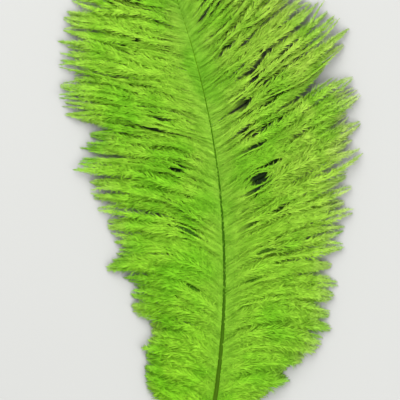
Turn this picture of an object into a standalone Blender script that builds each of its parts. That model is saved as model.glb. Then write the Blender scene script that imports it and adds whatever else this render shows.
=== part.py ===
"""A dyed ostrich plume, lying on a table with the face of its shaft up.

A feather grows as one piece, so this is one solid: the shaft, from the quill's cut end to its
tip, with the locks that its barbs clump into fused to both sides of it. The single barbs and
their flue are too fine for a solid, and each lock here reaches as far as its barbs do.

Metres, +Z up. The table is z = 0, and +Y runs from the quill towards the tip.
The origin is the centre of the feather's footprint on the table.
"""

import math

import bmesh
import bpy
import numpy as np
from mathutils import Vector

# The shaft seen from above is one arc that bends to the left, towards -X.
SHAFT_LENGTH = 0.335
SHAFT_PLAN_RADIUS = 0.456
QUILL_END = Vector((-0.00865, -0.18065))
QUILL_HEADING = math.radians(73.2)

# Seen from the side it is a low arch, carried by the vanes that droop to the table.
QUILL_REST_HEIGHT = 0.0005
ARCH_HEIGHT = 0.0165

# Half the shaft's width at distances along it. The quill ends in a blunt point.
SHAFT_STATIONS = (0.0, 0.005, 0.030, 0.070, 0.125, 0.180, 0.250, SHAFT_LENGTH)
SHAFT_RADII = (0.0007, 0.0014, 0.0016, 0.0014, 0.0010, 0.0008, 0.0006, 0.0004)
SHAFT_STEPS = 26
SHAFT_SIDES = 8

# The vanes. Each station is a distance along the shaft, and for each side the length of the
# barbs that grow there, and how far they lean from the shaft at their root and at their tip.
VANE_STATIONS = (0.042, 0.068, 0.090, 0.120, 0.155, 0.190, 0.225, 0.267, 0.305, SHAFT_LENGTH)
BARB_LENGTHS = {
    "left": (0.026, 0.047, 0.050, 0.066, 0.081, 0.083, 0.083, 0.069, 0.049, 0.035),
    "right": (0.018, 0.041, 0.058, 0.061, 0.083, 0.093, 0.104, 0.084, 0.058, 0.037),
}
ROOT_LEANS = {
    "left": (45, 50, 45, 43, 48, 53, 57, 58, 46, 10),
    "right": (45, 45, 48, 51, 55, 59, 64, 58, 48, 22),
}
TIP_LEANS = {
    "left": (70, 84, 78, 77, 76, 70, 64, 60, 52, 18),
    "right": (62, 80, 100, 88, 66, 58, 50, 48, 42, 24),
}

# The locks, and how much one differs from the next.
LOCKS_A_SIDE = 35
LOCK_LENGTH_SPREAD = 0.16
LOCK_LEAN_SPREAD = math.radians(9)
LOCK_ROOT_LEAN_SHARE = 0.3
LOCK_LEAST_LIFT = 0.0024
LOCK_LIFT_SPREAD = 0.0036
LOCK_TIP_LIFT = 0.0030
DROOP_POWER = 1.9

# Strides whose multiples never fall into step, so that no two locks near each other are alike.
LENGTH_STRIDE = 0.6180
LEAN_STRIDE = 0.7549
LIFT_STRIDE = 0.4472
SIDE_START = {"left": 0.37, "right": 0.0}

# A lock's half width and half thickness at shares of its length.
LOCK_SHARES = (0.0, 0.14, 0.38, 0.64, 0.86, 1.0)
LOCK_HALF_WIDTHS = (0.0044, 0.0052, 0.0066, 0.0070, 0.0052, 0.0007)
LOCK_HALF_THICKNESSES = (0.0008, 0.0018, 0.0030, 0.0030, 0.0020, 0.0007)
LOCK_SIDES = 5
SHORT_LOCK = 0.050
LEAST_LOCK_SIZE = 0.6
ROOT_BELOW_SHAFT = 0.0005
TIP_HEIGHT = 0.0004

TABLE_DEPTH = 0.02
TABLE_SIZE = 0.5


def clear_scene():
    for thing in list(bpy.data.objects):
        bpy.data.objects.remove(thing)


def link(name, mesh):
    thing = bpy.data.objects.new(name, mesh)
    bpy.context.scene.collection.objects.link(thing)
    return thing


def plume_material():
    """Dyed barbs: a matt lime green."""
    material = bpy.data.materials.new("dyed_plume")
    material.use_nodes = True
    shader = material.node_tree.nodes["Principled BSDF"]
    shader.inputs["Base Color"].default_value = (0.24, 0.53, 0.03, 1.0)
    shader.inputs["Roughness"].default_value = 0.75
    shader.inputs["Metallic"].default_value = 0.0
    return material


def shaft_heading(along):
    """The shaft's direction in plan, as an angle from +X."""
    return QUILL_HEADING + along / SHAFT_PLAN_RADIUS


def shaft_point(along):
    """A point of the shaft's centreline, at a distance from the quill's end."""
    start, here = QUILL_HEADING, shaft_heading(along)
    x = QUILL_END.x + SHAFT_PLAN_RADIUS * (math.sin(here) - math.sin(start))
    y = QUILL_END.y - SHAFT_PLAN_RADIUS * (math.cos(here) - math.cos(start))
    z = QUILL_REST_HEIGHT + ARCH_HEIGHT * math.sin(math.pi * along / SHAFT_LENGTH)
    return Vector((x, y, z))


def section(centre, forward, half_width, half_thickness, sides):
    """The corners of a flattened ring that stands square to a route, the first one on top."""
    across = forward.cross(Vector((0, 0, 1))).normalized()
    above = across.cross(forward)
    turns = [2 * math.pi * corner / sides for corner in range(sides)]
    return [
        centre + above * (half_thickness * math.cos(turn)) + across * (half_width * math.sin(turn))
        for turn in turns
    ]


def add_loft(bm, points, half_widths, half_thicknesses, sides):
    """A closed solid along a route: a face at its root, extruded from section to section."""
    made = bmesh.ops.create_circle(bm, cap_ends=True, segments=sides, radius=1.0)
    root = made["verts"]
    cap = root[0].link_faces[0]
    last = len(points) - 1
    for index, centre in enumerate(points):
        if index:
            cap = bmesh.ops.extrude_discrete_faces(bm, faces=[cap])["faces"][0]
        forward = (points[min(index + 1, last)] - points[max(index - 1, 0)]).normalized()
        ring = section(centre, forward, half_widths[index], half_thicknesses[index], sides)
        for vertex, corner in zip(cap.verts, ring):
            vertex.co = corner
    bmesh.ops.contextual_create(bm, geom=root)


def mesh_of(name, bm):
    bmesh.ops.recalc_face_normals(bm, faces=bm.faces)
    mesh = bpy.data.meshes.new(name)
    bm.to_mesh(mesh)
    bm.free()
    return mesh


def shaft_mesh():
    bm = bmesh.new()
    steps = np.linspace(0, SHAFT_LENGTH, SHAFT_STEPS)
    stations = sorted({*steps, *SHAFT_STATIONS})
    radii = [float(np.interp(along, SHAFT_STATIONS, SHAFT_RADII)) for along in stations]
    add_loft(bm, [shaft_point(along) for along in stations], radii, radii, SHAFT_SIDES)
    mesh = mesh_of("shaft", bm)
    mesh.shade_smooth()
    return mesh


def ease(share):
    """0 at the root and 1 at the tip, changing fastest at the root."""
    return math.sin(share * math.pi / 2)


def vary(side, number, stride):
    """A value from -0.5 to 0.5 that differs from lock to lock."""
    return (SIDE_START[side] + number * stride) % 1 - 0.5


def lock_route(side, number):
    """The points that one lock follows from the shaft to its tip, and its length."""
    first, last = VANE_STATIONS[0], VANE_STATIONS[-1]
    along = first + (last - first) * number / (LOCKS_A_SIDE - 1)
    outward = 1 if side == "left" else -1
    longer = vary(side, number, LENGTH_STRIDE)
    turned = LOCK_LEAN_SPREAD * vary(side, number, LEAN_STRIDE)

    length = np.interp(along, VANE_STATIONS, BARB_LENGTHS[side])
    length *= 1 + LOCK_LENGTH_SPREAD * longer
    root_lean = math.radians(np.interp(along, VANE_STATIONS, ROOT_LEANS[side]))
    root_lean += turned * LOCK_ROOT_LEAN_SHARE
    tip_lean = math.radians(np.interp(along, VANE_STATIONS, TIP_LEANS[side])) + turned
    lift = LOCK_LEAST_LIFT + LOCK_LIFT_SPREAD * (vary(side, number, LIFT_STRIDE) + 0.5)
    lift *= min(1, length / SHORT_LOCK)
    tip_height = TIP_HEIGHT + LOCK_TIP_LIFT * max(0, longer)

    root = shaft_point(along)
    root.z -= ROOT_BELOW_SHAFT
    points = [root]
    place = root.copy()
    for before, share in zip(LOCK_SHARES, LOCK_SHARES[1:]):
        middle = ease((before + share) / 2)
        lean = root_lean + (tip_lean - root_lean) * middle
        heading = shaft_heading(along) + outward * lean
        step = length * (share - before)
        place.x += step * math.cos(heading)
        place.y += step * math.sin(heading)
        fall = share**DROOP_POWER
        height = root.z * (1 - fall) + tip_height * fall + lift * math.sin(math.pi * share)
        points.append(Vector((place.x, place.y, height)))
    return points, length


def locks_mesh():
    bm = bmesh.new()
    for side in ("left", "right"):
        for number in range(LOCKS_A_SIDE):
            points, length = lock_route(side, number)
            size = min(1.0, LEAST_LOCK_SIZE + (1 - LEAST_LOCK_SIZE) * length / SHORT_LOCK)
            half_widths = [size * half for half in LOCK_HALF_WIDTHS]
            half_thicknesses = [size * half for half in LOCK_HALF_THICKNESSES]
            add_loft(bm, points, half_widths, half_thicknesses, LOCK_SIDES)
    return mesh_of("locks", bm)


def table_mesh():
    """A slab whose top is the table, which flattens the feather where it rests."""
    bm = bmesh.new()
    bmesh.ops.create_cube(bm, size=1.0)
    bmesh.ops.scale(bm, verts=bm.verts, vec=(TABLE_SIZE, TABLE_SIZE, TABLE_DEPTH))
    bmesh.ops.translate(bm, verts=bm.verts, vec=(0, 0, -TABLE_DEPTH / 2))
    return mesh_of("table", bm)


def helper(name, mesh):
    """A mesh that only shapes the feather, and isn't part of it."""
    thing = link(name, mesh)
    thing.hide_render = True
    thing.display_type = "WIRE"
    return thing


def combine(thing, operation, other):
    modifier = thing.modifiers.new(operation.lower(), "BOOLEAN")
    modifier.operation = operation
    modifier.object = other
    modifier.solver = "EXACT"
    modifier.use_self = operation == "UNION"


def neighbours(face):
    """The faces across each edge that only two faces share. Two surfaces can touch at the others."""
    shared = [edge.link_faces for edge in face.edges if len(edge.link_faces) == 2]
    return {other for pair in shared for other in pair}


def outer_surface(bm):
    """The faces of the largest of the closed surfaces that a mesh holds."""
    left = set(bm.faces)
    surfaces = []
    while left:
        surface, front = set(), {left.pop()}
        while front:
            surface |= front
            front = set().union(*(neighbours(face) for face in front)) - surface
        left -= surface
        surfaces.append(surface)
    return max(surfaces, key=len)


def fill_sealed_gaps(thing):
    """Apply the modifiers, and make solid each gap that the locks shut in between them. Cutting the
    faces into even triangles here keeps two of them from lying along the same diagonal."""
    bm = bmesh.new()
    bm.from_object(thing, bpy.context.evaluated_depsgraph_get())
    shut_in = set(bm.faces) - outer_surface(bm)
    bmesh.ops.delete(bm, geom=list(shut_in), context="FACES")
    bmesh.ops.triangulate(bm, faces=bm.faces, quad_method="LONG_EDGE", ngon_method="BEAUTY")
    thing.modifiers.clear()
    bm.to_mesh(thing.data)
    bm.free()


def make_feather():
    feather = link("feather", shaft_mesh())
    feather.data.materials.clear()
    feather.data.materials.append(plume_material())
    combine(feather, "UNION", helper("locks", locks_mesh()))
    combine(feather, "DIFFERENCE", helper("table", table_mesh()))
    fill_sealed_gaps(feather)


clear_scene()
make_feather()
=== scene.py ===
import math

import bmesh
import bpy
import numpy as np
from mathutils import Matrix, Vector


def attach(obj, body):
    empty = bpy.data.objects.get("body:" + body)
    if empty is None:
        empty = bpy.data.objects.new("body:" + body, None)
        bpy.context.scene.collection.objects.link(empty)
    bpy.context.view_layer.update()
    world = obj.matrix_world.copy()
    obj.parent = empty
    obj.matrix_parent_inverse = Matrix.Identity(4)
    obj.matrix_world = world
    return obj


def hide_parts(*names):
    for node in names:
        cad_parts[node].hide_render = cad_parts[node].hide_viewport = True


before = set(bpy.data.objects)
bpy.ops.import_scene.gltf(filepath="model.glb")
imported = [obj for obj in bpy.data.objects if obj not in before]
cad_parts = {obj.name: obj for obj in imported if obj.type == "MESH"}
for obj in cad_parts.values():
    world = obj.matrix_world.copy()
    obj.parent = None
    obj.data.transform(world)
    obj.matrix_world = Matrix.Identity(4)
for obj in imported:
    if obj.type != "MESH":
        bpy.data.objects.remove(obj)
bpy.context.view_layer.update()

# The looks of a dyed ostrich plume, seen from straight above. Metres, as in the CAD.
# Its shaft is one piece. Its vanes are single barbs, each with the fluff of barbules that an
# ostrich's barbs carry along both sides, in place of the CAD's solid locks.

# The shaft's line and its arch, as in the CAD, and the vanes: how long the barbs are, and how
# many degrees they lean from the shaft at their roots and tips, at distances along it. The CAD's
# locks differ from these by up to 5 mm and lean up to 16 degrees less, because here the vanes
# follow the real plume's edge and flow more closely.
SHAFT_LENGTH = 0.335
SHAFT_PLAN_RADIUS = 0.456
QUILL_END = Vector((-0.00865, -0.18065))
QUILL_HEADING = math.radians(73.2)
QUILL_REST_HEIGHT = 0.0005
ARCH_HEIGHT = 0.0165
VANE_STATIONS = (0.042, 0.068, 0.090, 0.120, 0.155, 0.190, 0.225, 0.267, 0.305, SHAFT_LENGTH)
BARB_LENGTHS = {
    "left": (0.027, 0.046, 0.051, 0.069, 0.086, 0.085, 0.086, 0.072, 0.052, 0.036),
    "right": (0.018, 0.040, 0.058, 0.060, 0.081, 0.090, 0.101, 0.083, 0.058, 0.037),
}
ROOT_LEANS = {
    "left": (45, 50, 45, 43, 48, 53, 57, 58, 46, 10),
    "right": (45, 45, 48, 51, 58, 66, 71, 63, 50, 22),
}
TIP_LEANS = {
    "left": (70, 92, 94, 92, 88, 80, 70, 62, 52, 18),
    "right": (62, 80, 100, 90, 72, 66, 60, 53, 44, 24),
}

# The CAD's locks: how many there are, how much they vary in length, lean and height, in strides
# that never fall into step, and how they droop. Ones shorter than SHORT_LOCK rise less.
LOCKS_A_SIDE = 35
LOCK_LENGTH_SPREAD = 0.16
LOCK_LEAN_SPREAD = math.radians(9)
LOCK_ROOT_LEAN_SHARE = 0.3
LOCK_LIFT_SPREAD = 0.0036
LOCK_TIP_LIFT = 0.0030
DROOP_POWER = 1.9
LENGTH_STRIDE = 0.6180
LEAN_STRIDE = 0.7549
LIFT_STRIDE = 0.4472
SIDE_START = {"left": 0.37, "right": 0.0}
SHORT_LOCK = 0.050
TIP_HEIGHT = 0.0004

SIDES = ("left", "right")
OUTWARD = {"left": 1, "right": -1}
SEED = {"left": 11, "right": 12}
SEEDS_A_SIDE = 100

# The shaft as it is seen between the barbs: half its width at distances along it.
SHAFT_STATIONS = (0.0, 0.005, 0.030, 0.070, 0.125, 0.180, 0.235, 0.290, SHAFT_LENGTH)
SHAFT_RADII = (0.0013, 0.0015, 0.0016, 0.0013, 0.0009, 0.00062, 0.00038, 0.00026, 0.0002)
SHAFT_SIDES = 16
SHAFT_STEPS = 90

# The barbs: their number on each side, how much of the CAD's locks shows in how they spread,
# and how one differs from the next. The spreads of barbs and tufts are those of a bell curve
# that is cut off at BELL_LIMIT spreads.
BARBS_A_SIDE = 205
BELL_LIMIT = 2
BARB_STEPS = 22
BARB_SHARES = np.linspace(0, 1, BARB_STEPS)
LOCKS_IN_LENGTH = 0.3
LOCKS_IN_LEAN = 0.2
LOCK_RIDGE = 0.0018
ROOT_SHIFT = 0.3
BARB_SHORTFALL = 0.012
BARB_HEIGHT_SPREAD = 0.0010
BARB_LEAN_SPREAD = math.radians(4.2)
BARB_TIP_LIFT = 0.0035
WAVE_SIZE = 0.0020
WAVES_A_BARB = (0.6, 1.6)
LEAST_HEIGHT = 0.0004

# How ruffled the vanes are at distances along the shaft: even by the quill, ruffled higher up.
# Where they are even, the tufts cling less, and the fluff is longer and mats over the gaps
# between the barbs.
RUFFLE_STATIONS = (0.09, 0.20)
RUFFLES = (0.42, 1.0)
EVEN_FLUFF = 0.5
EVEN_FLUFF_START = 0.2
RUFFLE_CLING_POWER = 0.7

# Halfway out neighbouring barbs lean on each other in bunches.
BUNCH_SIZES = (3, 11)
BUNCH_CLING = (0.0, 0.24)

# At their outer ends neighbouring barbs cling in tufts, each with a length and lean of its own.
# A tuft comes to a point, so its outer barbs are shorter. One that ends at a tip listed below
# clings most.
TUFT_SIZES = (2, 6)
TUFT_CLUMP = (0.15, 0.70)
AIMED_CLUMP = 0.85
TUFT_POWER = 5.0
TUFT_SHORTFALL = 0.035
TUFT_POINT = 0.013
TUFT_LEAN_SPREAD = math.radians(1.4)
TUFT_HEIGHT_SPREAD = 0.0008

# Where the vanes' edge runs, seen from above: x and y of the tips of its tufts, those that stand
# out and those that fall short between them.
TUFT_TIPS = {
    "left": (
        (-0.0785, 0.0955), (-0.0790, 0.0860), (-0.0815, 0.0810), (-0.0820, 0.0680),
        (-0.0695, 0.0600), (-0.0825, 0.0570), (-0.0800, 0.0415), (-0.0625, 0.0290), (-0.0690, 0.0220),
        (-0.0735, 0.0110), (-0.0610, 0.0040), (-0.0640, -0.0015), (-0.0595, -0.0115),
        (-0.0540, -0.0230), (-0.0505, -0.0310), (-0.0555, -0.0440), (-0.0410, -0.0510),
        (-0.0405, -0.0675), (-0.0295, -0.0765), (-0.0345, -0.0885), (-0.0315, -0.0995),
        (-0.0300, -0.1130),
    ),
    "right": (
        (0.0600, 0.1015), (0.0825, 0.0885), (0.0795, 0.0800), (0.0615, 0.0680),
        (0.0830, 0.0625), (0.0860, 0.0515), (0.0750, 0.0405), (0.0905, 0.0385), (0.0775, 0.0285),
        (0.0880, 0.0235), (0.0765, 0.0065), (0.0825, 0.0000), (0.0830, -0.0115),
        (0.0765, -0.0225), (0.0780, -0.0335), (0.0700, -0.0450), (0.0750, -0.0535),
        (0.0720, -0.0620), (0.0695, -0.0715), (0.0715, -0.0785), (0.0610, -0.0915),
        (0.0545, -0.0970), (0.0440, -0.1005), (0.0475, -0.1075), (0.0315, -0.1150),
    ),
}

# A barb's lean changes along it as a sine does, so a change of its tip's lean turns the whole
# barb by this share of it, the sine's mean. A tuft turns only part of the way to its tip, so that
# no gap opens beside it.
LEAN_TO_HEADING = 2 / math.pi
TURN_TO_TIPS = 0.6

# A few thin barbs lie across the others, on top of them.
CROSSING_SHARE = 0.11
CROSSING_LEAN_SPREAD = math.radians(11)
CROSSING_LIFT = 0.0022
CROSSING_FLUFF = 0.75

# Places where the barbs part and show the matted flue under them, with its painted shade: x, y,
# the way the barbs run there in degrees from +X, and the opening's half length and half width.
PARTINGS = (
    (0.0195, 0.0435, 22, 0.0050, 0.0021),
    (0.0290, 0.0049, 30, 0.0060, 0.0026),
    (0.0277, 0.0215, 32, 0.0040, 0.0010),
    (0.0251, -0.0512, 14, 0.0060, 0.0010),
    (0.0370, 0.0136, 30, 0.0045, 0.0010),
    (-0.0085, -0.0240, 144, 0.0130, 0.0012),
    (-0.0146, 0.0083, 150, 0.0050, 0.0008),
    (0.0230, -0.0215, 22, 0.0070, 0.0012),
    (0.0322, -0.0347, 20, 0.0065, 0.0010),
    (0.0404, -0.0413, 22, 0.0070, 0.0008),
    (-0.0055, -0.0557, 138, 0.0080, 0.0009),
    (0.0305, 0.0754, 52, 0.0050, 0.0004),
)
PARTING_FLUFF = 0.2
PARTING_FLUFF_REACH = 3.0

# Little partings, scattered by chance. A power below one crowds them upwards along the shaft,
# and one above one crowds them inwards along the barbs. A vane's first and last barbs have none.
SMALL_PARTINGS_A_SIDE = 60
SMALL_PARTINGS_UPWARDS = 0.6
SMALL_PARTINGS_INWARDS = 1.6
SMALL_PARTING_MARGIN = 4
SMALL_PARTING_SHARES = (0.10, 0.55)
SMALL_PARTING_LENGTHS = (0.0018, 0.0048)
SMALL_PARTING_WIDTHS = (0.0002, 0.0007)

# A barb's stem: half its width at shares of its length.
STEM_SHARES = (0.0, 0.1, 0.5, 0.85, 1.0)
STEM_RADII = (0.00026, 0.00026, 0.00023, 0.00016, 0.00006)
STEM_SIDES = 3

# The matted flue under each stem: a flat ribbon, with painted shade on it away from the shaft.
MAT_SHARES = (0.0, 0.05, 0.3, 0.6, 0.75, 0.88, 1.0)
MAT_HALF_WIDTHS = (0.0012, 0.0015, 0.0020, 0.0022, 0.0014, 0.0005, 0.0001)
MAT_FLATNESS = 0.2
MAT_DEPTHS = (0.0001, 0.0002, 0.0014, 0.0018, 0.0014, 0.0010, 0.0006)
MAT_SIDES = 4

# The barbules, which make the fluff: at shares of the barb's length, how crowded and how long
# they are, and how many degrees they lean from the barb. Real ones are finer and more. These are
# as coarse as they need to be to show.
BARBULES_PER_METRE = 8000
BARBULE_SHARES = (0.0, 0.10, 0.25, 0.50, 0.80, 0.94, 1.0)
BARBULE_CROWDING = (2.8, 2.0, 0.9, 0.9, 1.0, 1.0, 0.8)
CROWDING_STEPS = 200
BARBULE_LENGTHS = (0.0028, 0.0036, 0.0056, 0.0066, 0.0055, 0.0030, 0.0014)
BARBULE_LEANS = (36, 33, 26, 24, 22, 18, 10)
BARBULE_LEAN_SPREAD = math.radians(10)
BARBULE_LENGTH_RANGE = (0.5, 1.2)
STRAY_SHARE = 0.24
STRAY_LEAN_SPREAD = math.radians(28)
BARBULE_CURL = math.radians(-6)
BARBULE_CURL_SPREAD = math.radians(7)
BARBULE_RADIUS = 0.00011
BARBULE_BEND = 0.45
BARBULE_ARCH = 0.05
BARBULE_RISE = math.radians(9)
BARBULE_DROOP = 0.10
BARBULE_POINTS = 4
BARBULE_FACES = ((0, 1, 2), (3, 2, 1), (0, 3, 1), (0, 2, 3))
ROLL_SPREAD = math.radians(30)
ROLL_JITTER = math.radians(9)

# The pieces: the locks that go into each, counted from the quill.
PARTS = {"lower": (0, 15), "middle": (15, 25), "upper": (25, LOCKS_A_SIDE)}

# The pieces' own map: along the barb one way and across the row of barbs the other way, with
# the matted flue in a band of its own.
BAKE_MAP = "OFBake"
MAP_EDGE = 0.012
MAP_STEP = 0.0022
MAT_BAND = (0.012, 0.19)
FLUFF_BAND = (0.215, 0.988)

# The dye's patterns, from real sizes. The map's width stands for a long barb, and its height for
# a stretch of shaft. In the middle and upper pieces a streak is then about as wide as the room
# that one barb has, and in the lower pieces half as wide again.
MAP_WIDTH = 0.084
MAP_HEIGHT = 0.112
STREAK_LENGTH = 0.006
STREAK_WIDTH = 0.0016
PATCH_WIDTH = 0.0238

# The horn's grain is too fine to show, so it is drawn this coarse.
GRAIN_WIDTH = 0.00111
GRAIN_LENGTH = 0.025

# Where the tones begin and end. The barbs turn from a deeper green to a yellower one along this
# way across the plume. The painted shade on the flue under them deepens from the quill upwards,
# and the shaft's tones run along the plume too.
YELLOWER_WAY = (0.85, 0.55, 0.0)
YELLOWER_ENDS = (-0.11, 0.09)
FLUE_PAINTED_SHADE_ENDS = (-0.12, 0.0)
SHAFT_TONE_ENDS = (-0.18, 0.15)

# The floor, and the photo's view: its centre and width on the feather, and the camera's height.
FLOOR_SIZE = 4.0
PHOTO_CENTRE = Vector((-0.0025, -0.00715))
PHOTO_WIDTH = 0.220
CAMERA_HEIGHT = 0.90
FEATHER_MIDDLE_HEIGHT = 0.010


def shaft_heading(along):
    """The shaft's direction in plan, as an angle from +X."""
    return QUILL_HEADING + along / SHAFT_PLAN_RADIUS


def shaft_points(along):
    """The shaft's centreline at distances from the quill's end."""
    here = shaft_heading(along)
    x = QUILL_END.x + SHAFT_PLAN_RADIUS * (np.sin(here) - math.sin(QUILL_HEADING))
    y = QUILL_END.y - SHAFT_PLAN_RADIUS * (np.cos(here) - math.cos(QUILL_HEADING))
    z = QUILL_REST_HEIGHT + ARCH_HEIGHT * np.sin(math.pi * along / SHAFT_LENGTH)
    return np.stack([x, y, z], axis=-1)


def vary(side, lock, stride):
    """A value from -0.5 to 0.5 that differs from lock to lock."""
    return (SIDE_START[side] + lock * stride) % 1 - 0.5


def between_locks(side, place, stride):
    """The CAD's value for each lock, blended from one lock to the next."""
    locks = np.arange(LOCKS_A_SIDE)
    return np.interp(place, locks, vary(side, locks, stride))


def reaches(side, along, place):
    """How far the fluff of each barb reaches from the shaft, before barbs differ."""
    longer = LOCKS_IN_LENGTH * between_locks(side, place, LENGTH_STRIDE)
    return np.interp(along, VANE_STATIONS, BARB_LENGTHS[side]) * (1 + LOCK_LENGTH_SPREAD * longer)


def routes(side, along, place, length, lean_change, height_change, tip_lift):
    """The points that barbs follow from the shaft to their tips: one row for each barb."""
    longer = LOCKS_IN_LENGTH * between_locks(side, place, LENGTH_STRIDE)
    turned = LOCKS_IN_LEAN * LOCK_LEAN_SPREAD * between_locks(side, place, LEAN_STRIDE)
    root_lean = np.radians(np.interp(along, VANE_STATIONS, ROOT_LEANS[side]))
    root_lean = root_lean + turned * LOCK_ROOT_LEAN_SHARE
    tip_lean = np.radians(np.interp(along, VANE_STATIONS, TIP_LEANS[side])) + turned + lean_change
    lift = LOCK_LIFT_SPREAD * (between_locks(side, place, LIFT_STRIDE) + 0.5)
    lift = (lift + height_change) * np.minimum(1, length / SHORT_LOCK)
    tip_height = TIP_HEIGHT + LOCK_TIP_LIFT * np.maximum(0, longer) + tip_lift

    middles = (BARB_SHARES[1:] + BARB_SHARES[:-1]) / 2
    lean = root_lean[:, None] + (tip_lean - root_lean)[:, None] * np.sin(middles * math.pi / 2)
    heading = shaft_heading(along)[:, None] + OUTWARD[side] * lean
    step = length[:, None] * np.diff(BARB_SHARES)
    root = shaft_points(along)
    start = np.zeros((len(along), 1))
    x = root[:, :1] + np.hstack([start, np.cumsum(step * np.cos(heading), axis=1)])
    y = root[:, 1:2] + np.hstack([start, np.cumsum(step * np.sin(heading), axis=1)])
    fall = BARB_SHARES**DROOP_POWER
    bow = np.sin(math.pi * BARB_SHARES)
    z = root[:, 2:] * (1 - fall) + tip_height[:, None] * fall
    z = z + lift[:, None] * bow
    return np.stack([x, y, z], axis=-1)


def directions(points):
    """Along, across and above each point of each route."""
    forward = np.gradient(points, axis=1)
    forward /= np.linalg.norm(forward, axis=-1, keepdims=True)
    across = np.cross(forward, (0.0, 0.0, 1.0))
    across /= np.linalg.norm(across, axis=-1, keepdims=True)
    return forward, across, np.cross(across, forward)


def gather(points, group, strength):
    """Barbs of one group drawn together towards their tips, as damp or dyed barbs cling."""
    middle = np.zeros((group.max() + 1,) + points.shape[1:])
    count = np.bincount(group, minlength=len(middle))[:, None, None]
    np.add.at(middle, group, points)
    middle /= np.maximum(count, 1)
    return points + (middle[group] - points) * strength[:, :, None]


def small_partings(points, rng):
    """Little partings scattered over a vane, most of them near the shaft and in the upper half."""
    partings = []
    for spot in rng.uniform(0, 1, SMALL_PARTINGS_A_SIDE)**SMALL_PARTINGS_UPWARDS:
        barb = int(SMALL_PARTING_MARGIN + (BARBS_A_SIDE - 2 * SMALL_PARTING_MARGIN) * spot)
        low, high = SMALL_PARTING_SHARES
        step = int(BARB_STEPS * (low + (high - low) * rng.uniform(0, 1)**SMALL_PARTINGS_INWARDS))
        here, ahead = points[barb, step], points[barb, step + 1]
        degrees = math.degrees(math.atan2(ahead[1] - here[1], ahead[0] - here[0]))
        half_length = rng.uniform(*SMALL_PARTING_LENGTHS)
        half_width = rng.uniform(*SMALL_PARTING_WIDTHS)
        partings.append((here[0], here[1], degrees, half_length, half_width))
    return tuple(partings)


def part_barbs(points, partings):
    """The barbs pushed aside at each parting, and how much of its fluff each point keeps."""
    points = points.copy()
    fluff = np.ones(points.shape[:2])
    for x, y, degrees, half_length, half_width in partings:
        way = math.radians(degrees)
        offset = points[:, :, :2] - (x, y)
        forward = offset @ (math.cos(way), math.sin(way))
        aside = offset @ (-math.sin(way), math.cos(way))
        nearness = np.exp(-(forward / half_length)**2 - np.abs(aside) / (2 * half_width))
        side = np.sign((aside * nearness).sum(axis=1, keepdims=True))
        push = half_width * side * nearness
        points[:, :, 0] -= push * math.sin(way)
        points[:, :, 1] += push * math.cos(way)
        reach = np.exp(-(forward / half_length)**2 - (aside / (PARTING_FLUFF_REACH * half_width))**2)
        fluff *= 1 - (1 - PARTING_FLUFF) * reach
    return points, fluff


def make_groups(rng, least_and_most):
    """Which group of neighbours each barb belongs to."""
    sizes = rng.integers(*least_and_most, BARBS_A_SIDE)
    return np.repeat(np.arange(BARBS_A_SIDE), sizes)[:BARBS_A_SIDE]


def aim_tufts(side, along, place, tuft, length, lean_change):
    """The barbs' lengths and leans that carry the vane's edge through its listed tips. The tuft
    that grows nearest to a tip is turned and lengthened to end there, and so are the barbs
    between two such tufts, each by what lies between the two."""
    sizes = np.bincount(tuft)
    middle = np.bincount(tuft, along) / sizes
    level = np.zeros(len(along))
    root = shaft_points(along)[:, :2]
    plain = routes(side, along, place, length, level, level, level)[:, -1, :2] - root
    lean_change = lean_change.copy()
    aimed = np.zeros(len(sizes), bool)
    changes = {along[0]: (1.0, 0.0), along[-1]: (1.0, 0.0)}
    for tip in TUFT_TIPS[side]:
        way = np.array(tip) - root
        sideways = plain[:, 0] * way[:, 1] - plain[:, 1] * way[:, 0]
        turn = np.arctan2(sideways, (plain * way).sum(axis=1))
        longer = np.linalg.norm(way, axis=1) / np.linalg.norm(plain, axis=1)
        turn, longer = (np.bincount(tuft, values) / sizes for values in (turn, longer))
        nearest = np.where(aimed, math.pi, np.abs(turn)).argmin()
        chosen = tuft == nearest
        lean_change[chosen] -= lean_change[chosen].mean()
        turned = TURN_TO_TIPS * OUTWARD[side] * turn[nearest] / LEAN_TO_HEADING
        changes[middle[nearest]] = (longer[nearest], turned)
        aimed[nearest] = True
    places = sorted(changes)
    there = np.array([changes[here] for here in places])
    longer = np.interp(along, places, there[:, 0])
    turned = np.interp(along, places, there[:, 1])
    return length * longer, lean_change + turned, aimed[tuft]


def bell(rng, count):
    """Values that gather around zero, as far out as the limit."""
    return rng.standard_normal(count).clip(-BELL_LIMIT, BELL_LIMIT)


def barb_roots(rng):
    """How far along the shaft each barb of a vane grows, and its place among the CAD's locks."""
    first, last = VANE_STATIONS[0], VANE_STATIONS[-1]
    pitch = (last - first) / (LOCKS_A_SIDE - 1)
    place = np.linspace(0, LOCKS_A_SIDE - 1, BARBS_A_SIDE)
    shift = rng.uniform(-ROOT_SHIFT, ROOT_SHIFT, BARBS_A_SIDE - 2)
    place[1:-1] += shift * (place[1] - place[0])
    return first + pitch * place, place


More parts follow.
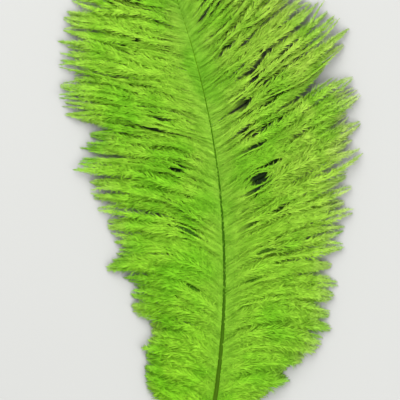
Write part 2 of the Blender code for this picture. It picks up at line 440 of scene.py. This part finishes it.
def barb_lengths_and_leans(side, along, place, tuft, ruffle, rng):
    """Each barb's length and how its tip's lean changes, with the barbs that end at a listed tip
    and those that lie across the others."""
    tufts = tuft.max() + 1
    length = reaches(side, along, place)
    lean_change = TUFT_LEAN_SPREAD * bell(rng, tufts)[tuft]
    lean_change = lean_change + BARB_LEAN_SPREAD * ruffle * bell(rng, BARBS_A_SIDE)
    length, lean_change, aimed = aim_tufts(side, along, place, tuft, length, lean_change)
    length *= 1 - TUFT_SHORTFALL * np.abs(bell(rng, tufts))[tuft] * ~aimed
    order = np.arange(BARBS_A_SIDE)
    middle = (np.bincount(tuft, order) / np.bincount(tuft))[tuft]
    shorter = BARB_SHORTFALL * np.abs(bell(rng, BARBS_A_SIDE))
    length *= (1 - TUFT_POINT * np.abs(order - middle)) * (1 - shorter)
    crossing = (rng.uniform(0, 1, BARBS_A_SIDE) < CROSSING_SHARE * ruffle) & ~aimed
    lean_change += crossing * CROSSING_LEAN_SPREAD * ruffle * bell(rng, BARBS_A_SIDE)
    return length, lean_change, aimed, crossing


def barb_heights(place, tuft, crossing, ruffle, rng):
    """How much higher each barb bows than the vane does, and how far its tip is lifted."""
    ridge = 1 - (2 * (place - np.rint(place)))**2
    height_change = BARB_HEIGHT_SPREAD * ruffle * bell(rng, BARBS_A_SIDE)
    height_change = height_change + TUFT_HEIGHT_SPREAD * bell(rng, tuft.max() + 1)[tuft]
    height_change += LOCK_RIDGE * ridge + CROSSING_LIFT * crossing
    return height_change, BARB_TIP_LIFT * rng.uniform(0, 1, BARBS_A_SIDE)


def wave_barbs(points, ruffle, rng):
    """Waves in the barbs, sideways, and largest halfway out."""
    _, across, _ = directions(points)
    phase = rng.uniform(0, 2 * math.pi, (BARBS_A_SIDE, 1))
    turns = rng.uniform(*WAVES_A_BARB, (BARBS_A_SIDE, 1))
    wave = WAVE_SIZE * np.sin(math.pi * BARB_SHARES)
    wave = wave * np.sin(2 * math.pi * turns * BARB_SHARES + phase)
    return points + across * (ruffle[:, None] * wave)[:, :, None]


def make_barbs(side):
    """Every barb of one vane: its points, its mat's points, its length, lock and roll, and how
    much fluff each of its points carries."""
    rng = np.random.default_rng(SEED[side])
    along, place = barb_roots(rng)
    tuft = make_groups(rng, TUFT_SIZES)
    bunch = make_groups(rng, BUNCH_SIZES)
    ruffle = np.interp(along, RUFFLE_STATIONS, RUFFLES)
    length, lean_change, aimed, crossing = barb_lengths_and_leans(side, along, place, tuft, ruffle, rng)
    height_change, tip_lift = barb_heights(place, tuft, crossing, ruffle, rng)
    points = routes(side, along, place, length, lean_change, height_change, tip_lift)
    points = wave_barbs(points, ruffle, rng)

    clump = rng.uniform(*TUFT_CLUMP, tuft.max() + 1)[tuft] * ~crossing
    cling = np.where(aimed, AIMED_CLUMP, clump) * ruffle**RUFFLE_CLING_POWER
    hold = rng.uniform(*BUNCH_CLING, bunch.max() + 1)[bunch] * ruffle
    points = gather(points, bunch, hold[:, None] * np.sin(math.pi * BARB_SHARES)**2)
    points = gather(points, tuft, cling[:, None] * BARB_SHARES**TUFT_POWER)
    lower = points.copy()
    lower[:, :, 2] -= np.interp(BARB_SHARES, MAT_SHARES, MAT_DEPTHS)
    lower[:, :, 2] = np.maximum(lower[:, :, 2], LEAST_HEIGHT)

    points, fluff = part_barbs(points, PARTINGS + small_partings(points, rng))
    points[:, :, 2] = np.maximum(points[:, :, 2], LEAST_HEIGHT)
    fluff *= np.where(crossing, CROSSING_FLUFF, 1.0)[:, None]
    fluff *= 1 + EVEN_FLUFF * (1 - ruffle[:, None]) * np.minimum(1, BARB_SHARES / EVEN_FLUFF_START)
    roll = ROLL_SPREAD * ruffle * bell(rng, BARBS_A_SIDE)
    lock = np.rint(place).astype(int)
    return {"points": points, "lower": lower, "length": length, "lock": lock, "roll": roll, "fluff": fluff}


def tubes(points, half_widths, flatness, sides):
    """Closed tapering tubes along many routes at once: their points and triangles, and for each
    point its share of the route's length, how far around it is, and the row of its route."""
    count, steps, _ = points.shape
    _, across, above = directions(points)
    turn = 2 * math.pi * (np.arange(sides) + 0.5) / sides
    ring = across[:, :, None] * np.cos(turn)[:, None]
    ring = ring + above[:, :, None] * flatness * np.sin(turn)[:, None]
    shape = points[:, :, None] + ring * half_widths[None, :, None, None]

    number = np.arange(count * steps * sides).reshape(count, steps, sides)
    here, beside = number[:, :-1], np.roll(number[:, :-1], -1, axis=2)
    ahead, ahead_beside = number[:, 1:], np.roll(number[:, 1:], -1, axis=2)
    walls = [np.stack([here, beside, ahead_beside], -1), np.stack([here, ahead_beside, ahead], -1)]
    faces = [wall.reshape(-1, 3) for wall in walls]
    for corner in range(1, sides - 1):
        root, tip = number[:, 0], number[:, -1]
        faces.append(np.stack([root[:, 0], root[:, corner + 1], root[:, corner]], -1))
        faces.append(np.stack([tip[:, 0], tip[:, corner], tip[:, corner + 1]], -1))

    share = np.broadcast_to(np.linspace(0, 1, steps)[None, :, None], number.shape)
    around = np.broadcast_to(np.arange(sides)[None, None, :] / sides, number.shape)
    row = np.broadcast_to(np.arange(count)[:, None, None], number.shape)
    return shape.reshape(-1, 3), np.concatenate(faces), share.ravel(), around.ravel(), row.ravel()


def at_share(values, row, share):
    """Each barb's values read at shares of its length."""
    spot = share * (BARB_STEPS - 1)
    low = np.minimum(spot.astype(int), BARB_STEPS - 2)
    part = (spot - low).reshape((-1,) + (1,) * (values.ndim - 2))
    return values[row, low] * (1 - part) + values[row, low + 1] * part


def crowded(share):
    """Even shares of a barb moved to where its barbules are crowded."""
    fine = np.linspace(0, 1, CROWDING_STEPS)
    total = np.cumsum(np.interp(fine, BARBULE_SHARES, BARBULE_CROWDING))
    return np.interp(share, (total - total[0]) / (total[-1] - total[0]), fine)


def barbules(barbs, rng):
    """The fluff: for each barbule of every barb a thin closed sliver, widest where it bends."""
    points = barbs["points"]
    count = np.rint(barbs["length"] * BARBULES_PER_METRE).astype(int)
    row = np.repeat(np.arange(len(count)), count)
    within = np.arange(len(row)) - np.repeat(np.cumsum(count) - count, count)
    share = crowded((within + rng.uniform(0, 1, len(row))) / count[row])

    forward, across, above = (at_share(values, row, share) for values in directions(points))
    root = at_share(points, row, share)
    hand = np.where(within % 2 == 0, 1.0, -1.0)
    tilt = BARBULE_RISE + barbs["roll"][row] * hand + ROLL_JITTER * rng.standard_normal(len(row))
    lean = np.radians(np.interp(share, BARBULE_SHARES, BARBULE_LEANS))
    stray = rng.uniform(0, 1, len(row)) < STRAY_SHARE
    lean = lean + np.where(stray, STRAY_LEAN_SPREAD, BARBULE_LEAN_SPREAD) * rng.standard_normal(len(row))
    turned = lean + BARBULE_CURL + BARBULE_CURL_SPREAD * rng.standard_normal(len(row))
    length = np.interp(share, BARBULE_SHARES, BARBULE_LENGTHS)
    length = length * rng.uniform(*BARBULE_LENGTH_RANGE, len(row))
    length = length * at_share(barbs["fluff"], row, share)
    side = across * (hand * np.cos(tilt))[:, None] + above * np.sin(tilt)[:, None]
    way = forward * np.cos(lean)[:, None] + side * np.sin(lean)[:, None]
    end_way = forward * np.cos(turned)[:, None] + side * np.sin(turned)[:, None]
    bend = root + way * (BARBULE_BEND * length)[:, None]
    tip = bend + end_way * ((1 - BARBULE_BEND) * length)[:, None]
    tip[:, 2] -= BARBULE_DROOP * length

    beside = np.cross(way, above)
    beside /= np.linalg.norm(beside, axis=-1, keepdims=True)
    over = np.cross(beside, way)
    bend = bend + over * (BARBULE_ARCH * length)[:, None]
    half = beside * BARBULE_RADIUS
    shape = np.stack([root, bend + half, bend - half, tip], axis=1)
    shape[:, :, 2] = np.maximum(shape[:, :, 2], LEAST_HEIGHT)
    number = np.arange(len(row))[:, None] * BARBULE_POINTS
    faces = [number + np.array(face) for face in BARBULE_FACES]
    return shape.reshape(-1, 3), np.concatenate(faces), share, row


def srgb(code):
    """A hex colour as linear red, green, blue and alpha."""
    values = [int(code[start:start + 2], 16) / 255 for start in (0, 2, 4)]
    linear = [value / 12.92 if value <= 0.04045 else ((value + 0.055) / 1.055)**2.4 for value in values]
    return (*linear, 1.0)


def add(tree, kind, inputs=None, stops=(), **settings):
    """A node with its settings and, on a ramp, its stops: the place and hex colour of each. An
    input is a value or the socket that it is linked from."""
    node = tree.nodes.new(kind)
    for name, value in settings.items():
        setattr(node, name, value)
    for name, value in (inputs or {}).items():
        if isinstance(value, bpy.types.NodeSocket):
            tree.links.new(value, node.inputs[name])
        else:
            node.inputs[name].default_value = value
    for index, (place, code) in enumerate(stops):
        elements = node.color_ramp.elements
        element = elements[index] if index < len(elements) else elements.new(1.0)
        element.position = place
        element.color = srgb(code)
    return node


def new_material(name):
    """A material with its node tree and its shader."""
    material = bpy.data.materials.new(name)
    material.use_nodes = True
    return material, material.node_tree, material.node_tree.nodes["Principled BSDF"]


def dyed_barb():
    """Keratin barbs with acid dye on them: matt lime, a little deeper by the shaft and dull and
    pale at their worn tips, with uneven tones from barb to barb. The matted flue under them
    carries painted shade, darkest in the upper half and least by the shaft, so that the gaps
    between the barbs look dark."""
    material, tree, shader = new_material("dyed_keratin_barb")
    place = add(tree, "ShaderNodeTexCoord").outputs["Object"]
    on_plume = add(tree, "ShaderNodeSeparateXYZ", {0: place}).outputs
    where = add(tree, "ShaderNodeUVMap", uv_map=BAKE_MAP).outputs["UV"]
    on_map = add(tree, "ShaderNodeSeparateXYZ", {0: where}).outputs
    colour = add(tree, "ShaderNodeValToRGB", {"Fac": on_map["X"]}, (
        (0.0, "9cc24c"), (0.12, "a4c84c"), (0.3, "b1d64e"),
        (0.75, "b3d652"), (0.9, "bcd472"), (1.0, "c6d498"))).outputs["Color"]

    # Painted shade on the matted flue: darker from the quill upwards and away from the shaft, so that the
    # gaps between the barbs look dark.
    low, high = FLUE_PAINTED_SHADE_ENDS
    upwards = add(tree, "ShaderNodeMapRange", {
        "Value": on_plume["Y"], "From Min": low, "From Max": high}).outputs["Result"]
    painted_flue_shade = add(tree, "ShaderNodeValToRGB", {"Fac": upwards}, (
        (0.0, "a0ba60"), (0.5, "7a924a"), (1.0, "222c12"))).outputs["Color"]
    outwards = add(tree, "ShaderNodeValToRGB", {"Fac": on_map["X"]}, (
        (0.05, "000000"), (0.25, "ffffff"))).outputs["Color"]
    painted_flue_shade = add(tree, "ShaderNodeMix", {
        "Factor": outwards, 6: srgb("ffffff"), 7: painted_flue_shade}, data_type="RGBA").outputs[2]
    is_flue = add(tree, "ShaderNodeMath", {
        0: on_map["Y"], 1: MAT_BAND[1]}, operation="LESS_THAN").outputs[0]
    painted_flue_shade_tone = add(tree, "ShaderNodeMix", {
        "Factor": is_flue, 6: srgb("ffffff"), 7: painted_flue_shade}, data_type="RGBA").outputs[2]

    streaks = add(tree, "ShaderNodeMapping", {
        "Vector": where, "Scale": (MAP_WIDTH / STREAK_LENGTH, MAP_HEIGHT / STREAK_WIDTH, 1.0)})
    streaks = add(tree, "ShaderNodeTexNoise", {
        "Vector": streaks.outputs["Vector"], "Scale": 1.0, "Detail": 1.0}).outputs["Fac"]
    streak_tone = add(tree, "ShaderNodeValToRGB", {"Fac": streaks}, (
        (0.3, "ccdab4"), (0.6, "ffffff"))).outputs["Color"]
    patches = add(tree, "ShaderNodeTexNoise", {
        "Vector": place, "Scale": 1 / PATCH_WIDTH, "Detail": 1.0}).outputs["Fac"]
    patch_tone = add(tree, "ShaderNodeValToRGB", {"Fac": patches}, (
        (0.38, "dcf4c0"), (0.55, "ffffff"))).outputs["Color"]

    slant = add(tree, "ShaderNodeVectorMath", {
        0: place, 1: YELLOWER_WAY}, operation="DOT_PRODUCT").outputs["Value"]
    low, high = YELLOWER_ENDS
    yellower = add(tree, "ShaderNodeMapRange", {
        "Value": slant, "From Min": low, "From Max": high}).outputs["Result"]
    side_tone = add(tree, "ShaderNodeValToRGB", {"Fac": yellower}, (
        (0.0, "daff80"), (0.35, "e4ffb8"), (0.65, "ecffcc"), (1.0, "ffffff"))).outputs["Color"]

    for tone in (painted_flue_shade_tone, streak_tone, patch_tone, side_tone):
        colour = add(tree, "ShaderNodeMix", {"Factor": 1.0, 6: colour, 7: tone},
                     data_type="RGBA", blend_type="MULTIPLY").outputs[2]
    tree.links.new(colour, shader.inputs["Base Color"])
    shader.inputs["Roughness"].default_value = 0.75
    shader.inputs["IOR"].default_value = 1.54
    shader.inputs["Specular IOR Level"].default_value = 0.12
    return material


def dyed_shaft():
    """The shaft's horn, which is keratin too: dyed darker than the barbs, smooth, and only a
    little glossy, with painted shade where its surface faces up, which leaves a paler line along each side
    of it."""
    material, tree, shader = new_material("dyed_keratin_shaft")
    place = add(tree, "ShaderNodeTexCoord").outputs["Object"]
    on_plume = add(tree, "ShaderNodeSeparateXYZ", {0: place}).outputs
    low, high = SHAFT_TONE_ENDS
    upwards = add(tree, "ShaderNodeMapRange", {
        "Value": on_plume["Y"], "From Min": low, "From Max": high}).outputs["Result"]
    colour = add(tree, "ShaderNodeValToRGB", {"Fac": upwards}, (
        (0.0, "9aa850"), (0.1, "7c9830"), (0.2, "547c08"),
        (0.5, "427402"), (0.65, "5c9408"), (0.9, "88c020"))).outputs["Color"]

    grain = add(tree, "ShaderNodeMapping", {
        "Vector": place, "Scale": (1 / GRAIN_WIDTH, 1 / GRAIN_LENGTH, 1 / GRAIN_WIDTH)})
    grain = add(tree, "ShaderNodeTexNoise", {
        "Vector": grain.outputs["Vector"], "Scale": 1.0, "Detail": 1.0}).outputs["Fac"]
    grain_tone = add(tree, "ShaderNodeValToRGB", {"Fac": grain}, (
        (0.3, "dcdcdc"), (0.7, "ffffff"))).outputs["Color"]
    # Painted shade: the colour is darker where the shaft's surface faces up, so its sides read paler.
    normal = add(tree, "ShaderNodeNewGeometry").outputs["Normal"]
    facing = add(tree, "ShaderNodeSeparateXYZ", {0: normal}).outputs
    top_painted_shade = add(tree, "ShaderNodeValToRGB", {"Fac": facing["Z"]}, (
        (0.45, "ffffff"), (0.85, "c4cca8"))).outputs["Color"]

    for tone in (grain_tone, top_painted_shade):
        colour = add(tree, "ShaderNodeMix", {"Factor": 1.0, 6: colour, 7: tone},
                     data_type="RGBA", blend_type="MULTIPLY").outputs[2]
    tree.links.new(colour, shader.inputs["Base Color"])
    shader.inputs["Roughness"].default_value = 0.6
    shader.inputs["IOR"].default_value = 1.54
    shader.inputs["Specular IOR Level"].default_value = 0.06
    return material


def new_object(name, mesh, material):
    """An object at the origin, with its place in its mesh."""
    mesh.materials.append(material)
    piece = bpy.data.objects.new(name, mesh)
    bpy.context.scene.collection.objects.link(piece)
    return piece


def joined_mesh(name, parts):
    """One mesh from arrays of points, triangles and map coordinates."""
    points, faces, map_points, start = [], [], [], 0
    for part_points, part_faces, part_map in parts:
        points.append(part_points)
        faces.append(part_faces + start)
        map_points.append(part_map)
        start += len(part_points)
    points, faces, map_points = (np.concatenate(part) for part in (points, faces, map_points))
    mesh = bpy.data.meshes.new(name)
    mesh.from_pydata(points, [], faces)
    mesh.shade_smooth()
    layer = mesh.uv_layers.new(name=BAKE_MAP)
    layer.uv.foreach_set("vector", map_points[faces.ravel()].ravel().astype(np.float32))
    mesh.update()
    return mesh


def map_place(share, row, count, aside, ahead, band):
    """Map coordinates: along the barb, and across the row of barbs in its band of the map."""
    u = MAP_EDGE + (1 - 2 * MAP_EDGE - 2 * MAP_STEP) * share + ahead
    v = band[0] + (band[1] - band[0] - 2 * MAP_STEP) * (row + 0.5) / count + aside
    return np.stack([u, v], axis=-1)


def vane_part(side, part, barbs, first, last, material):
    """The barbs of some neighbouring locks, with their stems, matted flue and barbules."""
    chosen = (barbs["lock"] >= first) & (barbs["lock"] < last)
    some = {name: values[chosen] for name, values in barbs.items()}
    count = int(chosen.sum())
    rng = np.random.default_rng(SEED[side] * SEEDS_A_SIDE + first)

    stem_radii = np.interp(BARB_SHARES, STEM_SHARES, STEM_RADII)
    points, faces, share, around, row = tubes(some["points"], stem_radii, 1.0, STEM_SIDES)
    stems = points, faces, map_place(share, row, count, around * MAP_STEP, 0, FLUFF_BAND)

    mat_widths = np.interp(BARB_SHARES, MAT_SHARES, MAT_HALF_WIDTHS)
    points, faces, share, around, row = tubes(some["lower"], mat_widths, MAT_FLATNESS, MAT_SIDES)
    mats = points, faces, map_place(share, row, count, around * MAP_STEP, 0, MAT_BAND)

    points, faces, share, row = barbules(some, rng)
    aside = np.tile((1, 0, 2, 1), len(share)) * MAP_STEP / 2
    ahead = np.tile((0, 1, 1, 2), len(share)) * MAP_STEP
    share, row = np.repeat(share, BARBULE_POINTS), np.repeat(row, BARBULE_POINTS)
    fluff_map = map_place(share, row, count, aside, ahead, FLUFF_BAND)
    fluff = points, faces, fluff_map

    mesh = joined_mesh(f"vane_{side}_{part}", (stems, mats, fluff))
    piece = new_object(f"vane_{side}_{part}", mesh, material)
    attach(piece, "root")
    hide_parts("feather")


def make_shaft(material):
    """The shaft, lofted from ring to ring, and never lower than the table."""
    bm = bmesh.new()
    made = bmesh.ops.create_circle(bm, cap_ends=True, segments=SHAFT_SIDES, radius=1.0)
    root = made["verts"]
    cap = root[0].link_faces[0]
    alongs = np.linspace(0, SHAFT_LENGTH, SHAFT_STEPS)
    radii = np.interp(alongs, SHAFT_STATIONS, SHAFT_RADII)
    centres = shaft_points(alongs)
    ways = np.gradient(centres, axis=0)
    for index, (centre, way, radius) in enumerate(zip(centres, ways, radii)):
        if index:
            cap = bmesh.ops.extrude_discrete_faces(bm, faces=[cap])["faces"][0]
        forward = Vector(way).normalized()
        across = forward.cross(Vector((0, 0, 1))).normalized()
        above = across.cross(forward)
        for corner, vertex in enumerate(cap.verts):
            turn = 2 * math.pi * corner / SHAFT_SIDES
            out = above * math.cos(turn) + across * math.sin(turn)
            vertex.co = Vector(centre) + out * float(radius)
            vertex.co.z = max(vertex.co.z, 0.0)
    bmesh.ops.contextual_create(bm, geom=root)
    bmesh.ops.recalc_face_normals(bm, faces=bm.faces)
    mesh = bpy.data.meshes.new("shaft")
    bm.to_mesh(mesh)
    bm.free()
    mesh.shade_smooth()
    piece = new_object("shaft", mesh, material)
    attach(piece, "root")
    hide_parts("feather")


def make_floor():
    """A floor of pale matt card."""
    bm = bmesh.new()
    bmesh.ops.create_grid(bm, x_segments=1, y_segments=1, size=FLOOR_SIZE / 2)
    mesh = bpy.data.meshes.new("floor")
    bm.to_mesh(mesh)
    bm.free()
    material, _, shader = new_material("pale_card")
    shader.inputs["Base Color"].default_value = srgb("b4b4b1")
    shader.inputs["Roughness"].default_value = 0.9
    new_object("floor", mesh, material)


def make_camera():
    """Straight above the feather, as the photo was taken, from far enough to flatten it."""
    data = bpy.data.cameras.new("camera")
    data.lens = data.sensor_width * (CAMERA_HEIGHT - FEATHER_MIDDLE_HEIGHT) / PHOTO_WIDTH
    data.clip_start = 0.01
    camera = bpy.data.objects.new("camera", data)
    camera.location = (PHOTO_CENTRE.x, PHOTO_CENTRE.y, CAMERA_HEIGHT)
    bpy.context.scene.collection.objects.link(camera)
    bpy.context.scene.camera = camera


def make_light(name, place, size, power):
    """A square soft light that faces the feather."""
    data = bpy.data.lights.new(name, "AREA")
    data.size = size
    data.energy = power
    light = bpy.data.objects.new(name, data)
    light.location = place
    light.rotation_euler = (-Vector(place)).to_track_quat("-Z", "Y").to_euler()
    bpy.context.scene.collection.objects.link(light)


def make_lights():
    """A soft key light from the tip's side, a weaker fill across from it and an even room."""
    make_light("key_light", place=(-0.30, 0.65, 1.0), size=1.1, power=15.0)
    make_light("fill_light", place=(0.60, -0.50, 1.0), size=1.0, power=9.5)
    world = bpy.data.worlds.new("studio")
    world.use_nodes = True
    background = world.node_tree.nodes["Background"]
    background.inputs["Color"].default_value = srgb("f4f6f8")
    background.inputs["Strength"].default_value = 0.75
    bpy.context.scene.world = world
    bpy.context.scene.view_settings.view_transform = "Standard"


make_camera()
make_lights()
make_floor()
make_shaft(dyed_shaft())
barb_material = dyed_barb()
for side in SIDES:
    barbs = make_barbs(side)
    for part, (first, last) in PARTS.items():
        vane_part(side, part, barbs, first, last, barb_material)
